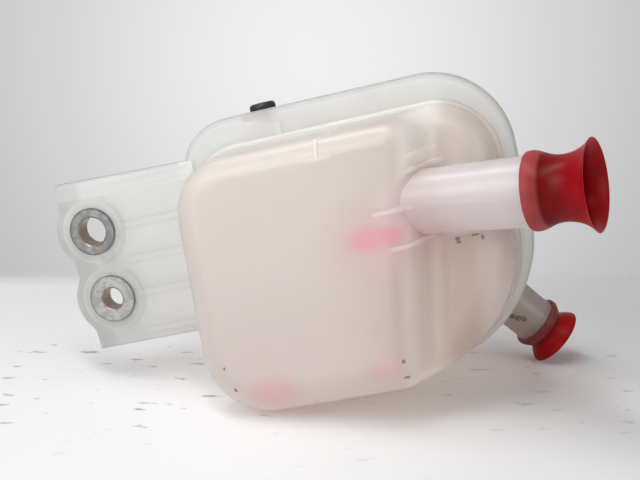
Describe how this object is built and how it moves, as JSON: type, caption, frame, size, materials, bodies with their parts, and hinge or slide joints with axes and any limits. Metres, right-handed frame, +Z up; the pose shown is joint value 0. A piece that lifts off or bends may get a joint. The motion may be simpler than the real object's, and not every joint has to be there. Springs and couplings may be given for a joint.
{
  "type": "coolant_expansion_tank",
  "caption": "Translucent moulded coolant expansion tank with a wide weld flange, a side bracket with bushed bolt holes, plugged hose ports and a rubber buffer",
  "frame": {"origin": "centre of the upper bush's seat, where its rear face meets the vehicle", "axes": "+X across the tank from the bracket to the ports, +Y back along the bolts into the vehicle, +Z up as the tank lies with its top edge rising to the right"},
  "size_m": [0.2184, 0.1264, 0.1247],
  "materials": {
    "natural_plastic": "milky translucent natural polypropylene, faintly stained",
    "bush_steel": "turned and zinc plated",
    "plug_plastic": "soft translucent red polyethylene",
    "buffer_rubber": "black moulded rubber"
  },
  "bodies": {
    "tank": {"front_shell": "natural_plastic", "rear_shell": "natural_plastic", "upper_bush": "bush_steel", "lower_bush": "bush_steel", "rubber_buffer": "buffer_rubber"},
    "large_plug": {"large_plug": "plug_plastic"},
    "small_plug": {"small_plug": "plug_plastic"}
  },
  "joints": [
    {"name": "large_plug_pull", "type": "slide", "parent": "tank", "child": "large_plug", "axis": [0.9657, -0.1977, 0.1685], "range_m": [0, 0.025]},
    {"name": "small_plug_pull", "type": "slide", "parent": "tank", "child": "small_plug", "axis": [0.714, 0.2924, -0.6362], "range_m": [0, 0.018]}
  ]
}
